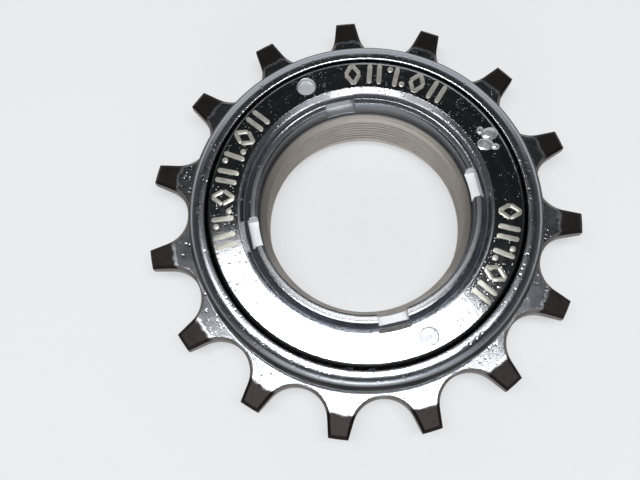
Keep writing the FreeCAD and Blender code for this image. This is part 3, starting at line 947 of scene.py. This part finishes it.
@dataclass
class LockingRing:
    """The visible face, with plain raised marks and the burrs of a punch."""

    mark_radius: float = 20.55
    mark_height: float = 0.14
    marks: tuple[tuple[Stroke, ...], ...] = (
        (Stroke(MarkShape.BAR, 3.3, 0.72, across=-0.72), Stroke(MarkShape.BAR, 3.3, 0.72, across=0.72)),
        lozenge(3.3, 2.1, 0.62),
        (Stroke(MarkShape.BAR, 3.3, 0.72), Stroke(MarkShape.DOT, 0.9, 0.9, 1.0, 1.05),
         Stroke(MarkShape.DOT, 0.9, 0.9, -1.0, -1.05)),
    )
    mark_rows: tuple[tuple[float, float, int], ...] = ((54.0, 90.0, 5), (135.0, 189.0, 7), (318.0, 353.0, 5))
    worn_top: float = 14.985
    burr_height: float = 0.28
    burrs: tuple[Burr, ...] = (Burr(21.2, 26.5, 1.15), Burr(19.75, 23.4, 1.1), Burr(20.3, 29.6, 0.6),
                               Burr(20.9, 20.8, 0.6))

    def dress(self, finishes: Finishes) -> None:
        """Coats the ring and adds what stands up from its face.

        Args:
            finishes: Where its materials come from.
        """
        finishes.coat("locking_ring", Finishes.RING)
        new_piece("face_marks", self.raise_marks, Finishes.MARKS, finishes, Body.CORE)
        new_piece("punch_burrs", self.raise_burrs, Finishes.BURRS, finishes, Body.CORE)

    def stand(self, radius: float, angle: float) -> Matrix:
        """The place and tilt of the face at a point.

        Args:
            radius: The point's distance from the axis.
            angle: Its angle about the axis, in degrees.

        Returns:
            A matrix whose X looks outwards along the face and whose Z leaves it.
        """
        turn = math.radians(angle)
        outward = Vector((math.cos(turn), math.sin(turn), 0.0))
        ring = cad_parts["locking_ring"]
        start = outward * radius * MM + Vector((0.0, 0.0, 50.0 * MM))
        _, spot, normal, _ = ring.ray_cast(start, Vector((0.0, 0.0, -1.0)))
        side = normal.cross(outward).normalized()
        along = side.cross(normal).normalized()
        return Matrix.LocRotScale(spot, Matrix((along, side, normal)).transposed(), None)

    def corner(self, work: bmesh.types.BMesh, stand: Matrix, out: float, across: float,
               rise: float) -> bmesh.types.BMVert:
        """Adds a corner over the face, worn down to the height of the face's highest line.

        Args:
            work: The mesh that it is added to.
            stand: The place that it is measured from.
            out: How far outwards it lies, in millimetres.
            across: How far across.
            rise: How far over the face.

        Returns:
            The corner.
        """
        spot = stand @ Vector((out * MM, across * MM, rise * MM))
        spot.z = min(spot.z, self.worn_top * MM)
        return work.verts.new(spot)

    @staticmethod
    def stack(work: bmesh.types.BMesh, loops: Sequence[Sequence[bmesh.types.BMVert]]) -> None:
        """Skins a stack of loops and closes both of its ends.

        Args:
            work: The mesh that they are in.
            loops: The loops, from the foot to the top, each with as many corners.
        """
        for loop, after in zip(loops, loops[1:]):
            for index in range(len(loop)):
                other = (index + 1) % len(loop)
                work.faces.new((loop[index], loop[other], after[other], after[index]))
        work.faces.new(loops[0])
        work.faces.new(loops[-1])

    def raise_stroke(self, work: bmesh.types.BMesh, stand: Matrix, stroke: Stroke) -> None:
        """Builds one raised part with sloping sides and a domed edge.

        Args:
            work: The mesh that it is built in.
            stand: Its mark's place on the face.
            stroke: What it looks like.
        """
        levels = ((1.0, -0.04), (1.0, self.mark_height * 0.45), (0.86, self.mark_height * 0.85),
                  (0.62, self.mark_height))
        inset = stroke.width * 0.5
        loops = []
        for share, rise in levels:
            loop = []
            for x, y in stroke.outline():
                length = math.hypot(x, y)
                keep = max(length - inset * (1.0 - share), 0.0) / length
                out, across = stroke.place(x * keep, y * keep)
                loop.append(self.corner(work, stand, out, across, rise))
            loops.append(loop)
        self.stack(work, loops)

    def raise_marks(self, work: bmesh.types.BMesh) -> None:
        """Sets a row of plain marks round each arc.

        Args:
            work: The mesh that they are built in.
        """
        for first, last, count in self.mark_rows:
            for index in range(count):
                stand = self.stand(self.mark_radius, first + (last - first) * index / (count - 1))
                for stroke in self.marks[index % len(self.marks)]:
                    self.raise_stroke(work, stand, stroke)

    def raise_burrs(self, work: bmesh.types.BMesh) -> None:
        """Sets low uneven domes where a punch has struck the face.

        Args:
            work: The mesh that they are built in.
        """
        chance = random.Random(7)
        for burr in self.burrs:
            stand = self.stand(burr.radius, burr.angle)
            phase, lobes = chance.uniform(0.0, 6.0), chance.choice((2, 3))
            loops = []
            for share, rise in ((1.0, -0.05), (0.85, 0.45), (0.6, 0.85), (0.25, 1.0)):
                loop = []
                for angle in round_the_clock(18):
                    reach = burr.size * share * (1.0 + 0.14 * math.sin(lobes * angle + phase))
                    out, across = reach * math.cos(angle), reach * math.sin(angle)
                    loop.append(self.corner(work, stand, out, across, self.burr_height * rise))
                loops.append(loop)
            self.stack(work, loops)


@dataclass
class Insides:
    """What the freewheel hides: balls, shims, pawls and their springs."""

    coats: dict[str, Finish] = field(default_factory=lambda: {
        "front_ball": Finishes.BALL,
        "rear_balls": Finishes.BALL,
        "shim": Finishes.SHIM,
        "pawl_spring": Finishes.SPRING,
        "pawl": Finishes.HARDENED,
    })
    leaf_root: tuple[float, float, float] = (16.41, 2.46, 0.0)
    leaf_tip: tuple[float, float, float] = (17.00, 2.55, 0.0)

    def dress(self, finishes: Finishes) -> None:
        """Coats each hidden node by the start of its name, the longest start first.

        Args:
            finishes: Where the materials come from.
        """
        for node in sorted(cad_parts):
            for start in sorted(self.coats, key=len, reverse=True):
                if node.startswith(start):
                    finishes.coat(node, self.coats[start])
                    break
        for number, side in ((1, 1.0), (2, -1.0)):
            self.bend_leaf(number)

    def bend_leaf(self, number: int) -> None:
        """Puts a copy of the rigid spring's mesh in its place and hides the rigid one.

        Args:
            number: The pawl's number.
        """
        node = f"pawl_spring_{number}"
        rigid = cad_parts[node]
        leaf = bpy.data.objects.new(f"pawl_leaf_{number}", rigid.data.copy())
        bpy.context.scene.collection.objects.link(leaf)
        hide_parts(node)
        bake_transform(leaf)
        LOG.info("%s bends with pawl %d", leaf.name, number)


@dataclass
class Sprocket:
    """The toothed outer forging."""

    def dress(self, finishes: Finishes) -> None:
        """Coats the sprocket."""
        finishes.coat("sprocket", Finishes.PLATE)


@dataclass(frozen=True)
class CameraFit:
    """The photograph's camera, found from the tooth tips and the rings of the face."""

    focal_px: float = 900.0
    picture_px: float = 640.0
    sensor: float = 36.0
    tilt: float = -14.25
    lean: float = -1.45
    turn: float = 5.05
    across: float = 6.715
    up: float = 2.84
    distance: float = 136.1
    tooth_plane: float = 7.0

    def place(self) -> None:
        """Adds the camera and makes it the scene's own."""
        data = bpy.data.cameras.new("camera")
        data.sensor_width = self.sensor
        data.lens = self.focal_px * self.sensor / self.picture_px
        data.clip_start = 5.0 * MM
        data.clip_end = 20.0
        camera = bpy.data.objects.new("camera", data)
        bpy.context.scene.collection.objects.link(camera)
        leaned = Matrix.Rotation(math.radians(self.lean), 3, "Y")
        tilted = Matrix.Rotation(math.radians(self.tilt), 3, "X")
        turned = leaned @ tilted @ Matrix.Rotation(math.radians(self.turn), 3, "Z")
        back = turned.transposed()
        spot = -(back @ Vector((self.across, self.up, -self.distance))) + Vector((0.0, 0.0, self.tooth_plane))
        camera.matrix_world = Matrix.LocRotScale(spot * MM, back, None)
        bpy.context.scene.camera = camera


@dataclass(frozen=True)
class Lamp:
    """A soft lamp over the freewheel, with X and Y as in the picture and light in watts a square metre."""

    name: str
    place: tuple[float, float, float]
    size: tuple[float, float]
    light: float


@dataclass
class Studio:
    """A pale floor, three soft lamps and a room that is dark overhead."""

    view: CameraFit = field(default_factory=CameraFit)
    floor_size: float = 3000.0
    floor_colour: Colour = (0.80, 0.82, 0.84)
    floor_glow: float = 0.55
    lamps: tuple[Lamp, ...] = (
        Lamp("key lamp", (-4.0, -40.0, 400.0), (290.0, 86.0), 2.0),
        Lamp("left lamp", (-165.0, 5.0, 400.0), (90.0, 120.0), 0.13),
        Lamp("low lamp", (0.0, -350.0, 160.0), (300.0, 150.0), 0.48),
    )
    ahead_stops: tuple[tuple[float, float], ...] = ((0.0, 0.80), (0.05, 0.70), (0.12, 0.45), (0.38, 0.75),
                                                    (0.55, 0.80), (0.64, 0.25), (0.74, 0.015), (1.0, 0.008))
    aside_stops: tuple[tuple[float, float], ...] = ((0.0, 0.80), (0.05, 0.60), (0.14, 0.10), (0.62, 0.07),
                                                    (0.74, 0.015), (1.0, 0.008))

    def set_up(self) -> None:
        """Builds the whole studio."""
        bpy.context.scene.view_settings.view_transform = "Standard"
        self.view.place()
        self.lay_floor()
        for lamp in self.lamps:
            self.hang(lamp)
        self.paint_room()

    def lay_floor(self) -> None:
        """Lays the pale floor under the freewheel."""
        half = self.floor_size * MM / 2.0
        mesh = bpy.data.meshes.new("floor")
        corners = [(-half, -half, 0.0), (half, -half, 0.0), (half, half, 0.0), (-half, half, 0.0)]
        mesh.from_pydata(corners, [], [(0, 1, 2, 3)])
        floor = bpy.data.objects.new("floor", mesh)
        bpy.context.scene.collection.objects.link(floor)
        material = bpy.data.materials.new("floor cloth")
        material.use_nodes = True
        canvas = Canvas(material.node_tree)
        shader = material.node_tree.nodes["Principled BSDF"]
        place = Place(canvas)
        cloud = canvas.noise(place.point, 30.0, 3.0)
        dim = tuple(0.965 * part for part in self.floor_colour)
        canvas.feed(shader, "Base Color", canvas.blend(cloud, dim, self.floor_colour))
        canvas.feed(shader, "Roughness", 0.9)
        canvas.feed(shader, "Specular IOR Level", 0.1)
        weave = canvas.noise(place.point, 1500.0, 3.0)
        relief = canvas.node("ShaderNodeBump")
        canvas.feed(relief, "Distance", 0.05 * MM)
        canvas.feed(relief, "Height", weave)
        canvas.feed(shader, "Normal", relief.outputs[0])
        self.whiten(canvas, shader)
        mesh.materials.append(material)

    def whiten(self, canvas: Canvas, shader: bpy.types.Node) -> None:
        """Pales the floor where the camera, metal or glass looks at it, and leaves its light as it was.

        Args:
            canvas: The floor's tree.
            shader: The floor's surface shader.
        """
        path = canvas.node("ShaderNodeLightPath")
        camera, glossy = path.outputs["Is Camera Ray"], path.outputs["Is Glossy Ray"]
        looked_at = canvas.sum_up("ADD", camera, glossy, clamp=True)
        looked_at = canvas.sum_up("ADD", looked_at, path.outputs["Is Transmission Ray"], clamp=True)
        white = canvas.node("ShaderNodeEmission")
        canvas.feed(white, "Color", (0.98, 0.99, 1.0, 1.0))
        mixed = canvas.node("ShaderNodeMixShader")
        canvas.feed(mixed, 0, canvas.sum_up("MULTIPLY", looked_at, self.floor_glow))
        canvas.feed(mixed, 1, shader.outputs[0])
        canvas.feed(mixed, 2, white.outputs[0])
        canvas.feed(canvas.tree.nodes["Material Output"], "Surface", mixed.outputs[0])

    def hang(self, lamp: Lamp) -> None:
        """Hangs a soft lamp level over the freewheel.

        Args:
            lamp: The lamp that is wanted.
        """
        data = bpy.data.lights.new(lamp.name, "AREA")
        data.shape = "ELLIPSE"
        data.size, data.size_y = (part * MM for part in lamp.size)
        thing = bpy.data.objects.new(lamp.name, data)
        bpy.context.scene.collection.objects.link(thing)
        level = Matrix.Rotation(-math.radians(self.view.turn), 3, "Z")
        spot = level @ Vector(lamp.place)
        data.energy = lamp.light * math.pi * (spot.length * MM) ** 2
        thing.matrix_world = Matrix.LocRotScale(spot * MM, level, None)
        thing.visible_camera = False

    def paint_room(self) -> None:
        """Paints the room's light: dark overhead, pale low down ahead and behind, dim to the sides."""
        world = bpy.data.worlds.new("room")
        bpy.context.scene.world = world
        world.use_nodes = True
        canvas = Canvas(world.node_tree)
        turned = canvas.node("ShaderNodeVectorRotate", rotation_type="Z_AXIS")
        canvas.feed(turned, "Vector", canvas.node("ShaderNodeTexCoord").outputs["Generated"])
        canvas.feed(turned, "Angle", math.radians(self.view.turn))
        parts = canvas.node("ShaderNodeSeparateXYZ")
        canvas.feed(parts, 0, turned.outputs[0])
        flat = canvas.node("ShaderNodeVectorMath", operation="MULTIPLY")
        canvas.feed(flat, 0, turned.outputs[0])
        canvas.feed(flat, 1, (1.0, 1.0, 0.0))
        heading = canvas.node("ShaderNodeVectorMath", operation="NORMALIZE")
        canvas.feed(heading, 0, flat.outputs[0])
        across = canvas.node("ShaderNodeSeparateXYZ")
        canvas.feed(across, 0, heading.outputs[0])
        aside = canvas.spread(canvas.sum_up("ABSOLUTE", across.outputs[0]), 0.55, 0.90)
        ahead = self.ramp(canvas, parts.outputs[2], self.ahead_stops)
        sides = self.ramp(canvas, parts.outputs[2], self.aside_stops)
        canvas.feed(world.node_tree.nodes["Background"], "Color", canvas.blend(aside, ahead, sides))

    @staticmethod
    def ramp(canvas: Canvas, height: Source, stops: Sequence[tuple[float, float]]) -> Source:
        """A run of cool greys by height.

        Args:
            canvas: The world's tree.
            height: Where in the run a direction lies.
            stops: Heights and their levels, from the lowest up.

        Returns:
            The grey's socket.
        """
        ramp = canvas.node("ShaderNodeValToRGB")
        canvas.feed(ramp, 0, height)
        marks = ramp.color_ramp.elements
        while len(marks) < len(stops):
            marks.new(0.5)
        for mark, (where, level) in zip(marks, stops):
            mark.position = where
            mark.color = (level * 0.97, level * 0.99, level * 1.02, 1.0)
        return ramp.outputs[0]


def main() -> None:
    """Dresses the freewheel and sets up its studio."""
    logging.basicConfig(level=logging.INFO, format="%(message)s")
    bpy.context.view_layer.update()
    finishes = Finishes()
    for part in (Sprocket(), Core(), LockingRing(), Insides()):
        part.dress(finishes)
        LOG.info("%s is dressed", type(part).__name__)
    Studio().set_up()


if __name__ == "__main__":
    main()
